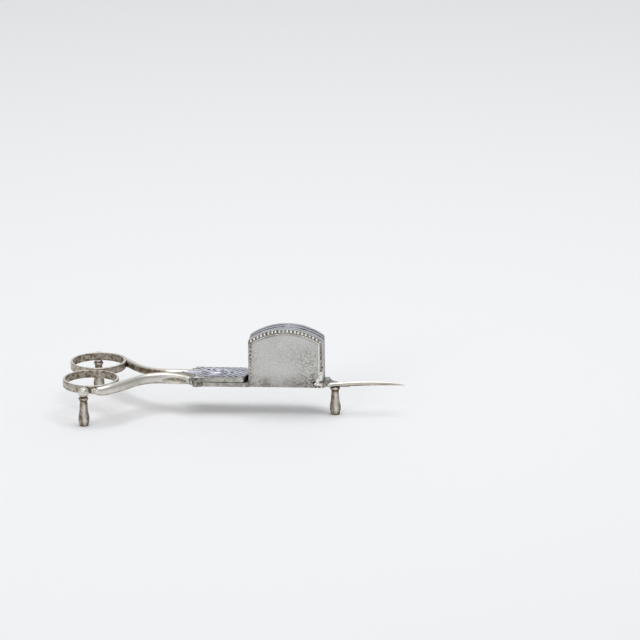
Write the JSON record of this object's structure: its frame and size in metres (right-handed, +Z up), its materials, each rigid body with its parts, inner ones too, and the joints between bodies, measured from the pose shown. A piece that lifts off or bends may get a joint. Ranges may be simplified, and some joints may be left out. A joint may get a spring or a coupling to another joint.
{
  "type": "candle snuffers",
  "caption": "Silver-plated candle snuffers: scissor arms with finger rings, an arched wick box, a presser that closes into it, a pointed pick and turned feet.",
  "frame": {"origin": "middle of the whole length and width, on the surface that the feet stand on", "axes": "+X runs along the tool from the finger rings to the pick, +Y from the side with the box's closed front to the side where the presser opens, +Z up through the pivot's axis"},
  "size_m": [0.17, 0.0666, 0.0442],
  "materials": {
    "silver_plate": "silver plate, hand polished, with brown tarnish left in the recesses",
    "dull_plate": "worn silver plate gone dull grey, finely pitted",
    "cutter_steel": "ground steel, slightly darkened",
    "spring_steel": "blued spring steel"
  },
  "bodies": {
    "box_half": {"far_finger_ring": "silver_plate", "far_shank": "silver_plate", "far_collar": "silver_plate", "far_foot_cup": "silver_plate", "far_foot": "silver_plate", "box_blade": "silver_plate", "pick": "silver_plate", "pick_foot": "silver_plate", "box_front_plate": "dull_plate", "box_band": "dull_plate", "box_bead_wire": "silver_plate", "box_cutter": "cutter_steel", "box_cutter_rivets": "cutter_steel", "pivot_pin": "cutter_steel", "pivot_washer": "cutter_steel", "pivot_burr": "cutter_steel"},
    "presser_half": {"near_finger_ring": "silver_plate", "near_shank": "silver_plate", "near_collar": "silver_plate", "near_foot_cup": "silver_plate", "near_foot": "silver_plate", "presser_blade": "silver_plate", "presser_cutter": "cutter_steel", "presser_cutter_rivets": "cutter_steel", "presser_plate": "dull_plate", "pivot_spring": "spring_steel", "spring_post": "cutter_steel", "spring_cap": "silver_plate", "cap_pins": "silver_plate"}
  },
  "joints": [
    {"name": "scissor_pivot", "type": "hinge", "parent": "box_half", "child": "presser_half", "pos_m": [-0.01055, 0, 0.0165], "axis": [0, 0, 1], "range_deg": [0, 40], "stiffness_Nm_per_rad": 0.1, "springref_deg": -17.19, "deforming": ["pivot_spring"]}
  ]
}
